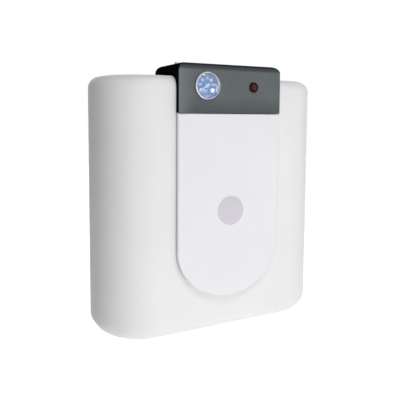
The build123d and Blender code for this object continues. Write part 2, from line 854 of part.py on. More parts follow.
def outlet_pipe():
    pipe = pipe_stub(-pipe_x) - post_z(-pipe_x, pipe_y, -2 * pipe_reach, tank_bottom, pipe_bore)
    pipe += post_z(-pipe_x, pipe_y, pipe_top, riser_top, riser_radius)
    return pipe - post_z(-pipe_x, pipe_y, 0, 2 * riser_top, riser_bore)


def pipe_collar(x):
    ring = post_z(x, pipe_y, -pipe_collar_height, 0, collar_radius)
    ring = fillet(ring.faces().sort_by(Axis.Z)[0].edges(), pipe_collar_height / 3)
    return ring - post_z(x, pipe_y, -2 * pipe_reach, pipe_reach, pipe_radius + hole_gap)


def inlet_diffuser():
    low = pipe_top - diffuser_seat
    top = low + diffuser_height
    roof = top - 2 * tank_wall
    cap = post_z(pipe_x, pipe_y, low, top, diffuser_radius)
    cap -= post_z(pipe_x, pipe_y, low - tank_wall, roof, pipe_shank + hole_gap)
    reach, half = 2 * diffuser_radius, pipe_bore / 2
    window = block(-reach, reach, -half, half, pipe_top + tank_wall, roof)
    windows = window + Rot(0, 0, 90) * window
    return cap - Pos(pipe_x, pipe_y) * windows


def gland_body():
    body = post_z(gland_x, gland_y, 0, gland_top, gland_radius)
    body += hex_z(gland_x, gland_y, -gland_flange, 0, gland_flats)
    body += post_z(gland_x, gland_y, -gland_flange - gland_stub, -gland_flange, gland_radius - gland_step)
    return body - post_z(gland_x, gland_y, -2 * pipe_reach, pipe_reach, cable_radius + gland_step)


def gland_nut():
    low = -gland_flange - gland_nut_height
    nut = post_z(gland_x, gland_y, low, -gland_flange - fit_gap, gland_nut_radius)
    nut = fillet(nut.faces().sort_by(Axis.Z)[0].edges(), gland_nut_radius / 3)
    nut -= post_z(gland_x, gland_y, low + gland_flange, 0, gland_radius - gland_step + fit_gap)
    return nut - post_z(gland_x, gland_y, -2 * pipe_reach, 0, cable_radius)


def gland_seal():
    low = -gland_nut_height
    ring = post_z(gland_x, gland_y, low, -gland_flange - gland_stub, gland_radius - gland_step)
    return ring - post_z(gland_x, gland_y, -2 * pipe_reach, 0, cable_radius)


def gland_locknut():
    low = casing_wall
    nut = hex_z(gland_x, gland_y, low, low + locknut_height, locknut_flats)
    return nut - post_z(gland_x, gland_y, 0, pipe_reach, gland_radius + hole_gap)


def cable_conduit():
    tube = post_z(gland_x, gland_y, gland_top + fit_gap, foam_top, conduit_radius)
    return tube - post_z(gland_x, gland_y, 0, 2 * foam_top, conduit_radius - conduit_wall)


def gauge_case():
    low = -gauge_case_depth
    case = post_z(0, 0, low, 0, gauge_case_radius)
    inside, foot = gauge_case_radius - gauge_case_wall, low + gauge_case_wall
    case -= post_z(0, 0, foot, gauge_case_wall, inside)
    return facing_front(gauge_x, control_line, case)


def gauge_bezel():
    r, hole, top = gauge_radius, gauge_radius - gauge_lip, gauge_bezel_height
    ledge = top - bezel_hook_thickness
    ring = turned([(hole, 0), (r, 0), (r, bezel_shoulder), (r - bezel_step, bezel_slope), (r - bezel_land, top),
                   (hole - bezel_hook, top), (hole - bezel_hook, ledge), (hole, ledge)])
    return facing_front(gauge_x, control_line, ring)


def lens_shape(rim, low, rise, thickness):
    """Domed lens of a rim radius whose lower edge is at height low, as a shell of even thickness."""
    ball = (rim**2 + rise**2) / (2 * rise)
    centre = low + thickness + rise - ball
    solid = Pos(0, 0, centre) * Sphere(ball) & post_z(0, 0, low + thickness, low + 2 * ball, rim)
    solid += post_z(0, 0, low, low + thickness, rim)
    inside = Pos(0, 0, centre) * Sphere(ball - thickness)
    return solid - (inside & post_z(0, 0, low - ball, low + 2 * ball, rim - thickness))


def gauge_lens():
    rim = gauge_radius - gauge_lip - hole_gap
    ledge = gauge_bezel_height - bezel_hook_thickness - hole_gap
    dome = lens_shape(rim, ledge - lens_thickness, lens_rise, lens_thickness)
    step, high = rim - bezel_hook - hole_gap, 2 * gauge_bezel_height
    hook = turned([(step, ledge), (2 * rim, ledge), (2 * rim, high), (step, high)])
    return facing_front(gauge_x, control_line, dome - hook)


def gauge_dial():
    radius = gauge_case_radius - gauge_case_wall - hole_gap
    top = -dial_setback
    disc = post_z(0, 0, top - dial_thickness, top, radius)
    disc -= post_z(0, 0, -through, through, spindle_radius + 2 * hole_gap)
    return facing_front(gauge_x, control_line, disc)


def gauge_needle():
    low = -dial_setback + fit_gap
    tail = needle_length / 3
    tip = Polyline((-needle_width, -tail, low), (needle_width, -tail, low), (needle_width / 2, 0, low),
                   (needle_tip / 2, needle_length, low), (-needle_tip / 2, needle_length, low),
                   (-needle_width / 2, 0, low), close=True)
    pointer = extrude(make_face(tip), needle_thickness, dir=(0, 0, 1))
    hub = post_z(0, 0, low, low + 2 * needle_thickness, 1.5 * needle_width)
    shape = pointer + hub - post_z(0, 0, -through, through, spindle_radius)
    return facing_front(gauge_x, control_line, Rot(0, 0, needle_rest) * shape)


def gauge_spindle():
    top = -dial_setback + fit_gap + 2 * needle_thickness
    return facing_front(gauge_x, control_line, post_z(0, 0, -gauge_case_depth / 2, top, spindle_radius))


def gauge_movement():
    low = -gauge_case_depth + gauge_case_wall
    radius = gauge_case_radius - gauge_case_wall - hole_gap
    drum = post_z(0, 0, low, -dial_setback - 6 * dial_thickness, 0.7 * radius)
    bridge = post_z(0, 0, -dial_setback - 8 * dial_thickness, -dial_setback - 6 * dial_thickness, radius)
    shape = drum + bridge
    shape -= post_z(0, 0, -gauge_case_depth / 2 - fit_gap, through, spindle_radius + hole_gap)
    return facing_front(gauge_x, control_line, shape)


def push_clip(x, radius):
    """Thin push-on ring that holds a round body behind the cover's face."""
    top = -cover_wall
    ring = post_z(0, 0, top - clip_thickness, top, radius + clip_margin)
    ring -= post_z(0, 0, -through, through, radius + hole_gap)
    return facing_front(x, control_line, ring)


def lamp_body():
    body = post_z(0, 0, -lamp_body_length, 0, lamp_body_radius)
    flange = post_z(0, 0, 0, lamp_flange, lamp_radius)
    flange = fillet(flange.faces().sort_by(Axis.Z)[-1].edges(), lamp_flange / 3)
    hollow = post_z(0, 0, -lamp_flange, 2 * lamp_flange, lamp_lens_radius + hole_gap)
    hollow += post_z(0, 0, -lamp_body_length + lamp_flange, 0, lamp_lens_radius - lamp_ledge)
    thick, wide = lamp_tab_thickness / 2, lamp_tab_width / 2
    for x in (-lamp_body_radius / 2, lamp_body_radius / 2):
        body += block(x - thick, x + thick, -wide, wide, -lamp_body_length - lamp_tab_length, -lamp_body_length)
    return facing_front(lamp_x, control_line, body + flange - hollow)


def lamp_lens():
    base = post_z(0, 0, -lamp_flange, lamp_flange / 2, lamp_lens_radius)
    ball = (lamp_lens_radius**2 + lamp_lens_rise**2) / (2 * lamp_lens_rise)
    dome = Pos(0, 0, lamp_flange / 2 + lamp_lens_rise - ball) * Sphere(ball)
    dome &= post_z(0, 0, lamp_flange / 2, 2 * ball, lamp_lens_radius)
    return facing_front(lamp_x, control_line, base + dome)


def gauge_pocket():
    outer = bulb_radius + pocket_wall + 2 * hole_gap
    return blind_tube(gauge_pocket_x, tank_y, gauge_pocket_bottom, tank_top, outer, pocket_wall,
                      gauge_pocket_rim - fit_gap, pocket_rim)


def capillary_tube():
    bulb_low = gauge_pocket_bottom + 4 * pocket_wall
    bulb = post_z(gauge_pocket_x, tank_y, bulb_low, bulb_low + bulb_length, bulb_radius)
    bulb = fillet(bulb.faces().sort_by(Axis.Z)[0].edges(), bulb_radius / 2)
    back = band_y + gauge_case_depth
    drop = control_line - foam_top
    route = [
        (gauge_x, back, control_line),
        (gauge_x, back + 2 * lead_run, control_line),
        (gauge_x + (gauge_pocket_x - gauge_x) / 3, tank_y - 2 * lead_run, control_line - drop / 5),
        (gauge_pocket_x, tank_y, control_line - drop / 2),
        (gauge_pocket_x, tank_y, bulb_low + bulb_length),
    ]
    return group([bulb, lead(route, capillary_radius)])


def lamp_leads():
    back = band_y + lamp_body_length + lamp_tab_length
    entry_y = block_y - block_depth / 2
    low = tray_top + way_pitch / 2
    made = []
    for start, x in zip((lamp_x - lamp_body_radius / 2, lamp_x + lamp_body_radius / 2), way_places()):
        route = [
            (start, back, control_line),
            (start, back + lead_run, control_line),
            (start + 2 * lead_run, back + lead_run + lead_clear, control_line - lead_clear - lead_grip),
            (x, entry_y - 2 * lead_run - lead_radius, tray_top + block_height),
            (x, entry_y - lead_run - lead_radius, low),
            (x, entry_y + lead_grip, low),
        ]
        made.append(lead(route, lead_radius / 2))
    return group(made)


def power_leads():
    low = tray_top + way_pitch / 2
    ways = way_places()
    back = block_y + block_depth / 2
    front = block_y - block_depth / 2
    side = thermostat_width / 2
    live_y = thermostat_y + thermostat_depth / 4
    neutral_y = thermostat_y + 2 * lead_radius
    neutral_z = thermostat_bottom + 2 * thermostat_height / 3
    foot = flange_radius - lead_grip
    live = [
        (ways[0], back - lead_grip, low),
        (ways[0], back + lead_run, low),
        (ways[0] - 2 * lead_run, back + lead_run + lead_radius, low + way_pitch),
        (side + lead_clear, live_y, thermostat_bottom + lead_clear),
        (side, live_y, thermostat_bottom + lead_clear),
    ]
    neutral = [
        (ways[1], back - lead_grip, low),
        (ways[1], back + lead_run, low),
        (ways[1] - 2 * lead_run - 2 * lead_radius, back + lead_run + 2 * lead_radius, low + 2 * way_pitch),
        (side + lead_clear + 2 * lead_radius, neutral_y, neutral_z),
        (side, neutral_y, neutral_z),
    ]
    earth = [
        (ways[2], front + lead_grip, low),
        (ways[2], front - lead_run - lead_radius, low),
        (ways[2] - 2 * lead_run - 2 * lead_radius, front - 3 * lead_run - 2 * lead_radius, low + lead_radius),
        (flange_radius + lead_clear, flange_y - way_pitch, low + 2 * lead_radius),
        (foot, flange_y, low + 3 * lead_radius),
        (foot, flange_y, flange_top),
    ]
    return group([lead(live, lead_radius), lead(neutral, lead_radius), lead(earth, lead_radius)])


def wall_bracket():
    hook_y = -hook_reach
    strip = profile_x(
        [(0, bracket_bottom), (0, bracket_ledge + sheet), (hook_y, bracket_ledge + sheet),
         (hook_y, bracket_ledge + hook_height), (hook_y - sheet, bracket_ledge + hook_height),
         (hook_y - sheet, bracket_ledge), (-sheet, bracket_ledge), (-sheet, bracket_bottom)],
        bracket_width,
    )
    for s in (-1, 1):
        strip -= post_y(s * wall_hole_spacing / 2, wall_hole_height, -2 * sheet, sheet, wall_hole_radius)
    return strip


def hanger_plate():
    plate_y = -recess_depth
    top = hanger_top
    hook_front = -hook_reach + hook_gap
    hook_back = hook_front + sheet
    strip = profile_x(
        [(plate_y, hanger_bottom), (plate_y, top), (hook_back, top), (hook_back, bracket_ledge + sheet),
         (hook_front, bracket_ledge + sheet), (hook_front, top - sheet), (plate_y + sheet, top - sheet),
         (plate_y + sheet, hanger_bottom)],
        hanger_width,
    )
    for x, z, _ in tank_boss_places():
        if z > recess_bottom:
            strip -= post_y(x, z, 2 * plate_y, 0, bolt_radius + fit_gap)
    return strip


def build():
    """All nodes by name."""
    wrapper, top_end, bottom_end = tank_pieces()
    foam_front, foam_back = foam()
    return {
        "front_shell": front_shell(),
        "back_tray": back_tray(),
        "recess_plate": recess_plate(),
        "front_panel": front_panel(),
        "badge_disc": badge_disc(),
        "control_cover": control_cover(),
        "cover_screws": cover_screws(),
        "casing_screws": casing_screws(),
        "control_tray": control_tray(),
        "insulation_front": foam_front,
        "insulation_back": foam_back,
        "tank_wrapper": wrapper,
        "tank_top_end": top_end,
        "tank_bottom_end": bottom_end,
        "tank_stays": tank_stays(),
        "tank_bosses": tank_bosses(),
        "tank_bolts": tank_bolts(),
        "flange_collar": flange_collar(),
        "flange_studs": flange_studs(),
        "flange_gasket": flange_gasket(),
        "element_flange": element_flange(),
        "flange_nuts": flange_nuts(),
        "heating_element": heating_element(),
        "element_terminals": element_terminals(),
        "sensor_pocket": sensor_pocket(),
        "anode_rod": anode_rod(),
        "anode_stud": anode_stud(),
        "thermostat_body": thermostat_body(),
        "thermostat_rod": thermostat_rod(),
        "thermostat_dial": thermostat_dial(),
        "reset_button": reset_button(),
        "terminal_block": terminal_block(),
        "terminal_screws": terminal_screws(),
        "inlet_pipe": inlet_pipe(),
        "outlet_pipe": outlet_pipe(),
        "inlet_collar": pipe_collar(pipe_x),
        "outlet_collar": pipe_collar(-pipe_x),
        "inlet_diffuser": inlet_diffuser(),
        "gland_body": gland_body(),
        "gland_nut": gland_nut(),
        "gland_seal": gland_seal(),
        "gland_locknut": gland_locknut(),
        "cable_conduit": cable_conduit(),
        "gauge_case": gauge_case(),
        "gauge_bezel": gauge_bezel(),
        "gauge_lens": gauge_lens(),
        "gauge_dial": gauge_dial(),
        "gauge_needle": gauge_needle(),
        "gauge_spindle": gauge_spindle(),
        "gauge_movement": gauge_movement(),
        "gauge_clip": push_clip(gauge_x, gauge_case_radius),
        "gauge_pocket": gauge_pocket(),
        "capillary_tube": capillary_tube(),
        "lamp_body": lamp_body(),
        "lamp_lens": lamp_lens(),
        "lamp_clip": push_clip(lamp_x, lamp_body_radius),
        "lamp_leads": lamp_leads(),
        "power_leads": power_leads(),
        "wall_bracket": wall_bracket(),
        "hanger_plate": hanger_plate(),
    }


def main():
    os.makedirs("parts", exist_ok=True)
    for name, shape in build().items():
        export_step(Pos(0, 0, -wall_hole_height) * shape, f"parts/{name}.step")


main()
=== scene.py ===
"""Looks of the slim electric water heater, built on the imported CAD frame.

Metres. +X is to the right seen from the front, -Y is the front and +Z is up. The origin is
on the wall plane, midway between the wall bracket's two screw holes.
"""

import json
from math import cos, pi, radians, sin

import bpy
from mathutils import Matrix, Vector


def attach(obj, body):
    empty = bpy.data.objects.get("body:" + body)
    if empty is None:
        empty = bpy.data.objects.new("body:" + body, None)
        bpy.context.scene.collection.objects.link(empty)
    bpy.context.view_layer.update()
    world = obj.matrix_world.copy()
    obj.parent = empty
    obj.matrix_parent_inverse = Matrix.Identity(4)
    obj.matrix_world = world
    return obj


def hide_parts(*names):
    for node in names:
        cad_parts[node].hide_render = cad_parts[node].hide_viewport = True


MM = 0.001

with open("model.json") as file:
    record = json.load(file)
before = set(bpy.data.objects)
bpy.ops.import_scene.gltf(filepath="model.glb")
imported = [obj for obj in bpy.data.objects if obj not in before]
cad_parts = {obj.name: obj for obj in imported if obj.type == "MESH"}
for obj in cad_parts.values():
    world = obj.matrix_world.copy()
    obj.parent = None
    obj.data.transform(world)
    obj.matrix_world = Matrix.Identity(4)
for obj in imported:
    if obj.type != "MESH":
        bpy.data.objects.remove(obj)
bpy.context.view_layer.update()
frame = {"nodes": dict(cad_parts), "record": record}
nodes = frame["nodes"]

# Sizes that the looks share with the CAD model, in millimetres
GAUGE_X = -43.0
GAUGE_Z = 75.0
DIAL_RADIUS = 18.5
DIAL_FACE = 1.0
DIAL_SHEET = 0.3
DIAL_RIM = 0.7
DIAL_CENTRE = 9.6
TICK_RING = 17.2
TICK_STEPS = 24
TICK_HEIGHT = 0.05
PRINT_STEP = 20
PRINT_MARKS = 6
PRINT_RING = 11.3
PRINT_SIZE = 5.2
FACE_Y = -120.0
NEEDLE_START = 210.0
NEEDLE_SWEEP = 240.0
PIPE_X = 60.0
PIPE_Y = -40.0
PIPE_END = -327.0
PIPE_TOP = -266.0
THREAD_TOP = -315.5
THREAD_RADIUS = 10.48
THREAD_ROOT = 9.4
THREAD_PITCH = 1.814
THREAD_STEPS = 48
PIPE_BORE = 7.5
GLAND_X = 140.0
GLAND_Y = -42.0
NUT_LOW = -327.0
NUT_TOP = -314.3
NUT_RADIUS = 9.5
NUT_RIBS = 18
RIB_DEPTH = 0.7
CABLE_RADIUS = 4.0

# The cover's outline, where its paint ends and where the painted shade over its crown starts, and the
# panel's foot with the painted shade there, in metres
COVER_SIDE = 90.0 * MM
COVER_LOW = 35.0 * MM
COVER_TOP = 109.0 * MM
COVER_CORNER = 13.0 * MM
PAINT_LAP = 1.0 * MM
PAINT_BACK = -112.0 * MM
CROWN_SHADE_START = 98.0 * MM
PANEL_FOOT = -112.0 * MM
FOOT_SHADE_WIDTH = 5.0 * MM
FOOT_SHADE_START = 0.5 * MM

# Studio
SKY_LIGHT = 0.04
FLOOR_Z = -0.62
FLOOR_SIZE = 12
FLOOR_GLOW = 0.78
GLOW_NEAR = 0.5
GLOW_FAR = 1.4
CAMERA_PLACE = (-0.4070, -0.8018, 0.0295)
CAMERA_TURN = (27.3535, 4.5, 0.3018)
CAMERA_LENS = 46.37
CAMERA_SHIFT = -0.1073


def colour(code):
    """Linear RGBA of an sRGB hex colour."""
    parts = [int(code[i:i + 2], 16) / 255 for i in (1, 3, 5)]
    linear = [c / 12.92 if c <= 0.04045 else ((c + 0.055) / 1.055) ** 2.4 for c in parts]
    return (*linear, 1.0)


class Finish:
    """A node-based material under construction."""

    def __init__(self, name, base, roughness, metallic=0.0):
        self.material = bpy.data.materials.new(name)
        self.material.use_nodes = True
        self.tree = self.material.node_tree
        self.shader = self.tree.nodes["Principled BSDF"]
        self.shader.inputs["Base Color"].default_value = colour(base)
        self.shader.inputs["Roughness"].default_value = roughness
        self.shader.inputs["Metallic"].default_value = metallic
        self.place = self.tree.nodes.new("ShaderNodeTexCoord").outputs["Object"]
        self.height = None

    def link(self, a, b):
        """Links an output to an input."""
        self.tree.links.new(a, b)

    def noise(self, size_mm, detail=2.0, stretch=(1, 1, 1)):
        """Noise whose features are about size_mm across."""
        scale = self.tree.nodes.new("ShaderNodeMapping")
        scale.inputs["Scale"].default_value = stretch
        self.link(self.place, scale.inputs["Vector"])
        made = self.tree.nodes.new("ShaderNodeTexNoise")
        made.inputs["Scale"].default_value = 1 / (size_mm * MM)
        made.inputs["Detail"].default_value = detail
        self.link(scale.outputs["Vector"], made.inputs["Vector"])
        return made.outputs["Fac"]

    def spread(self, source, low, high, start=0.3, end=0.7):
        """A value that runs from low to high as source runs from start to end."""
        made = self.tree.nodes.new("ShaderNodeMapRange")
        made.inputs["From Min"].default_value = start
        made.inputs["From Max"].default_value = end
        made.inputs["To Min"].default_value = low
        made.inputs["To Max"].default_value = high
        self.link(source, made.inputs["Value"])
        return made.outputs["Result"]

    def tint(self, source, other, start=0.35, end=0.65, most=1.0):
        """Mixes the base colour with another one by source."""
        socket = self.shader.inputs["Base Color"]
        mix = self.tree.nodes.new("ShaderNodeMix")
        mix.data_type = "RGBA"
        if socket.is_linked:
            self.link(socket.links[0].from_socket, mix.inputs["A"])
        else:
            mix.inputs["A"].default_value = socket.default_value
        mix.inputs["B"].default_value = colour(other)
        self.link(self.spread(source, 0.0, most, start, end), mix.inputs["Factor"])
        self.link(mix.outputs["Result"], socket)

    def axes(self):
        """X, Y and Z of the surface's own place, in metres."""
        split = self.tree.nodes.new("ShaderNodeSeparateXYZ")
        self.link(self.place, split.inputs["Vector"])
        return split.outputs["X"], split.outputs["Y"], split.outputs["Z"]

    def maths(self, operation, *values):
        """Result of a Math node on sockets or numbers."""
        made = self.tree.nodes.new("ShaderNodeMath")
        made.operation = operation
        for socket, value in zip(made.inputs, values):
            if isinstance(value, (int, float)):
                socket.default_value = value
            else:
                self.link(value, socket)
        return made.outputs["Value"]

    def rough(self, source, low, high):
        """Roughness that runs from low to high by source."""
        self.link(self.spread(source, low, high), self.shader.inputs["Roughness"])

    def bump(self, source, depth_mm, strength=1.0):
        """Adds a height of depth_mm by source."""
        made = self.tree.nodes.new("ShaderNodeBump")
        made.inputs["Strength"].default_value = strength
        made.inputs["Distance"].default_value = depth_mm * MM
        self.link(source, made.inputs["Height"])
        if self.height is not None:
            self.link(self.height, made.inputs["Normal"])
        self.height = made.outputs["Normal"]
        self.link(self.height, self.shader.inputs["Normal"])

    def set(self, **values):
        """Sets the shader's sockets, named with underscores for blanks."""
        for name, value in values.items():
            self.shader.inputs[name.replace("_", " ")].default_value = value


def moulded(name, base, shade, roughness, grain_mm, grain_depth, coat=0.0):
    """Moulded plastic: faint flow marks in the colour, uneven gloss and a fine surface grain."""
    made = Finish(name, base, roughness)
    made.tint(made.noise(60, 3), shade, most=0.6)
    made.rough(made.noise(9, 4), roughness * 0.85, roughness * 1.2)
    made.bump(made.noise(18, 1), 0.012)
    made.bump(made.noise(grain_mm, 3), grain_depth)
    made.set(Coat_Weight=coat, Coat_Roughness=0.08, Specular_IOR_Level=0.5)
    return made


def metal(name, base, shade, roughness, brush=(1, 1, 1), size_mm=1.2, depth=0.006):
    """Worked metal: brushed or rolled streaks, with uneven roughness."""
    made = Finish(name, base, roughness, metallic=1.0)
    streak = made.noise(size_mm, 4, brush)
    made.tint(streak, shade, most=0.5)
    made.tint(made.noise(35, 3), shade, 0.4, 0.75, most=0.35)
    made.rough(streak, roughness * 0.8, roughness * 1.3)
    made.bump(streak, depth)
    return made


# Satin white ABS of the casing, with the faint orange peel of a large moulding
casing_white = moulded("casing_white", "#f1f0f1", "#eeedee", 0.38, 4.0, 0.004)
casing_white.set(Specular_IOR_Level=0.2)

# The same white of the front panel, with painted shade darkening the foot of its wall where it meets the
# casing
panel_white = moulded("panel_white", "#efeff1", "#ececee", 0.38, 4.0, 0.004)
panel_white.set(Specular_IOR_Level=0.3)
outward = panel_white.axes()[1]
# Painted shade: the white darkens to grey over the last few millimetres before the panel's foot
joint = PANEL_FOOT - FOOT_SHADE_START
panel_white.tint(outward, "#94979b", joint - FOOT_SHADE_WIDTH, joint)

# Black moulded cover with a fine spark-eroded grain, its front painted satin charcoal grey;
# the grey is darker towards its lower edge, has a painted highlight towards its left end and painted
# shade over the crown, where the gloss also drops
control_grey = moulded("control_grey", "#606667", "#595f61", 0.5, 1.5, 0.008)
across, deep, up = control_grey.axes()
beside = control_grey.maths("SUBTRACT", control_grey.maths("ABSOLUTE", across), COVER_SIDE - COVER_CORNER)
above = control_grey.maths("SUBTRACT", up, COVER_TOP - COVER_CORNER)
beside = control_grey.maths("POWER", control_grey.maths("MAXIMUM", beside, 0.0), 2.0)
above = control_grey.maths("POWER", control_grey.maths("MAXIMUM", above, 0.0), 2.0)
from_corner = control_grey.maths("SQRT", control_grey.maths("ADD", beside, above))
paint_edge = COVER_CORNER - PAINT_LAP
beyond = control_grey.spread(from_corner, 0.0, 1.0, paint_edge, paint_edge + PAINT_LAP / 2)
behind = control_grey.spread(deep, 0.0, 1.0, PAINT_BACK, PAINT_BACK + 2 * MM)
bare = control_grey.maths("MAXIMUM", beyond, behind)
# Darker towards the cover's lower edge
control_grey.tint(up, "#474d4e", COVER_LOW + 26 * MM, COVER_LOW)
# Painted highlight: the grey lightens towards the cover's left end
control_grey.tint(across, "#7c8385", -COVER_SIDE + 26 * MM, -COVER_SIDE, most=0.7)
# Painted shade: the grey darkens over the crown in two steps
control_grey.tint(up, "#3f4649", CROWN_SHADE_START, CROWN_SHADE_START + 3.5 * MM)
control_grey.tint(up, "#2b3133", CROWN_SHADE_START + 6 * MM, CROWN_SHADE_START + 10 * MM)
control_grey.tint(bare, "#0e1115", 0.0, 1.0)
crown = control_grey.spread(up, 0.0, 1.0, CROWN_SHADE_START, CROWN_SHADE_START + 8 * MM)
dull = control_grey.maths("MAXIMUM", bare, crown)
control_grey.set(Specular_IOR_Level=0.2)
shine = control_grey.spread(dull, 0.25, 0.0, 0.0, 1.0)
control_grey.link(shine, control_grey.shader.inputs["Specular IOR Level"])

# Plain lilac-grey film of the blank badge disc, with a hammered pearl sheen
badge_film = moulded("badge_film", "#d6d2da", "#cbc6d0", 0.4, 2.5, 0.004)

# Grey polypropylene of the control tray and the cable conduit
tray_plastic = moulded("tray_plastic", "#8d9193", "#7f8385", 0.5, 0.6, 0.01)

# Cream polystyrene foam with its beads
pale_foam = Finish("pale_foam", "#ece6cf", 0.85)
bead = pale_foam.tree.nodes.new("ShaderNodeTexVoronoi")
bead.inputs["Scale"].default_value = 1 / (3.5 * MM)
pale_foam.link(pale_foam.place, bead.inputs["Vector"])
pale_foam.tint(bead.outputs["Distance"], "#d8d0b4", 0.3, 0.8, most=0.7)
pale_foam.bump(bead.outputs["Distance"], -0.35)

# Stainless sheet, brushed around the tank
tank_steel = metal("tank_steel", "#c3c2be", "#9d9c98", 0.34, (1, 1, 14))

# Bright zinc plating with a faint yellow-blue passivation
zinc_steel = metal("zinc_steel", "#c5c8c9", "#a9a790", 0.36, size_mm=2.5, depth=0.004)

# Stainless screw heads with turning marks
screw_steel = metal("screw_steel", "#cfcfcb", "#8f8f8b", 0.28, size_mm=0.7, depth=0.004)

# Black nitrile rubber, dull, with a light bloom
gasket_rubber = moulded("gasket_rubber", "#161616", "#26262a", 0.75, 0.35, 0.02)

# Heating element's dark annealed sheath
element_sheath = metal("element_sheath", "#6a635b", "#3d3833", 0.5, size_mm=4.0, depth=0.01)

# Cast magnesium, grey and matt
magnesium = metal("magnesium", "#a9abad", "#83868a", 0.62, size_mm=1.6, depth=0.03)

# Unglazed steatite of terminal block and end beads
white_ceramic = moulded("white_ceramic", "#ebe6d9", "#dcd5c4", 0.55, 0.3, 0.01)

# Black phenolic moulding of the thermostat
phenolic = moulded("phenolic", "#191614", "#241f1b", 0.4, 0.4, 0.006)

# Red and blue polypropylene collars that mark hot and cold
red_plastic = moulded("red_plastic", "#b3211c", "#9c1a17", 0.36, 0.4, 0.005)
blue_plastic = moulded("blue_plastic", "#1d4f9e", "#19458c", 0.36, 0.4, 0.005)

# Black nylon of gland and lamp body
black_plastic = moulded("black_plastic", "#0c0b0b", "#141414", 0.5, 0.35, 0.008)
black_plastic.set(Specular_IOR_Level=0.06)

# Turned brass
brass = metal("brass", "#c9a55c", "#9b7a3a", 0.3, size_mm=0.8)

# Drawn copper, slightly tarnished
copper_tube = metal("copper_tube", "#c07a52", "#7f4d36", 0.32, size_mm=3.0)

# Polished chrome bezel, with a soft lilac cast from its lacquer
gauge_chrome = metal("gauge_chrome", "#d6d4de", "#b9b6c4", 0.16, size_mm=6.0, depth=0.001)

# Sky blue lacquer of the gauge's face, a little uneven under the print
dial_blue = Finish("dial_blue", "#4f7fb8", 0.38)
dial_blue.tint(dial_blue.noise(5, 2), "#86a9d2", 0.4, 0.62, most=0.55)
dial_blue.tint(dial_blue.noise(3, 2), "#2f5f9f", 0.45, 0.7, most=0.4)
dial_blue.bump(dial_blue.noise(0.3, 2), 0.004)

# Thick white screen print of ticks and numbers
dial_print = Finish("dial_print", "#f4f5fa", 0.4)
dial_print.tint(dial_print.noise(1.2, 2), "#dfe3f0", most=0.5)
dial_print.bump(dial_print.noise(0.15, 2), 0.003)

# Pale stoved enamel of the needle
needle_white = Finish("needle_white", "#eef0f4", 0.3)
needle_white.tint(needle_white.noise(2, 2), "#dadde6", most=0.5)
needle_white.bump(needle_white.noise(0.4, 2), 0.003)

# Clear moulded lens over the dial
gauge_glass = Finish("gauge_glass", "#f6f8ff", 0.03)
gauge_glass.set(Transmission_Weight=1.0, IOR=1.46, Coat_Weight=0.4, Coat_Roughness=0.02)
gauge_glass.bump(gauge_glass.noise(12, 1), 0.001)

# Dark ruby lens of the pilot lamp, unlit
lamp_red = Finish("lamp_red", "#5a070c", 0.2)
lamp_red.tint(lamp_red.noise(2.5, 2), "#360306", 0.4, 0.65, most=0.7)
lamp_red.set(Specular_IOR_Level=0.12, Coat_Weight=0.03, Coat_Roughness=0.05)
lamp_red.bump(lamp_red.noise(1.6, 1), 0.01)

# Brown silicone sleeve of the leads
lead_sleeve = moulded("lead_sleeve", "#6b4529", "#5a3920", 0.55, 0.5, 0.01)

# Galvanised strip with its spangle
bracket_steel = metal("bracket_steel", "#bfc3c4", "#9aa0a3", 0.42, size_mm=7.0, depth=0.003)

finishes = {
    "casing_white": casing_white, "panel_white": panel_white, "control_grey": control_grey,
    "badge_film": badge_film, "tray_plastic": tray_plastic, "pale_foam": pale_foam,
    "tank_steel": tank_steel, "zinc_steel": zinc_steel, "screw_steel": screw_steel,
    "gasket_rubber": gasket_rubber,
    "element_sheath": element_sheath, "magnesium": magnesium, "white_ceramic": white_ceramic,
    "phenolic": phenolic, "red_plastic": red_plastic, "blue_plastic": blue_plastic,
    "black_plastic": black_plastic, "brass": brass, "copper_tube": copper_tube,
    "gauge_chrome": gauge_chrome,
    "dial_blue": dial_blue, "needle_white": needle_white, "gauge_glass": gauge_glass,
    "lamp_red": lamp_red, "lead_sleeve": lead_sleeve, "bracket_steel": bracket_steel,
}

# Each CAD node takes the finish of its slot in the record
for part in frame["record"]["subparts"]:
    node = nodes[part["node"]]
    node.data.materials.clear()
    node.data.materials.append(finishes[part["material_slot"]].material)


def clean_selection():
    """Deselects everything, because operators act on all that is selected."""
    bpy.ops.object.select_all(action="DESELECT")


def keep(piece, name, finish, body):
    """Names a finished piece, freezes its place into its mesh and lets it ride on a body."""
    clean_selection()
    bpy.context.view_layer.objects.active = piece
    piece.select_set(True)
    bpy.ops.object.convert(target="MESH")
    bpy.ops.object.transform_apply(location=True, rotation=True, scale=True)
    piece.name = name
    piece.data.materials.clear()
    piece.data.materials.append(finish.material)
    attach(piece, body)
    return piece


def join(pieces):
    """Joins pieces into the first of them."""
    clean_selection()
    for piece in pieces:
        piece.select_set(True)
    bpy.context.view_layer.objects.active = pieces[0]
    bpy.ops.object.join()
    return pieces[0]


def facing_front(radius_mm, angle, height_mm):
    """Point on the dial's plane, by radius and angle from +X, height_mm in front of the cover's face."""
    x = (GAUGE_X + radius_mm * cos(radians(angle))) * MM
    z = (GAUGE_Z + radius_mm * sin(radians(angle))) * MM
    return Vector((x, (FACE_Y - height_mm) * MM, z))


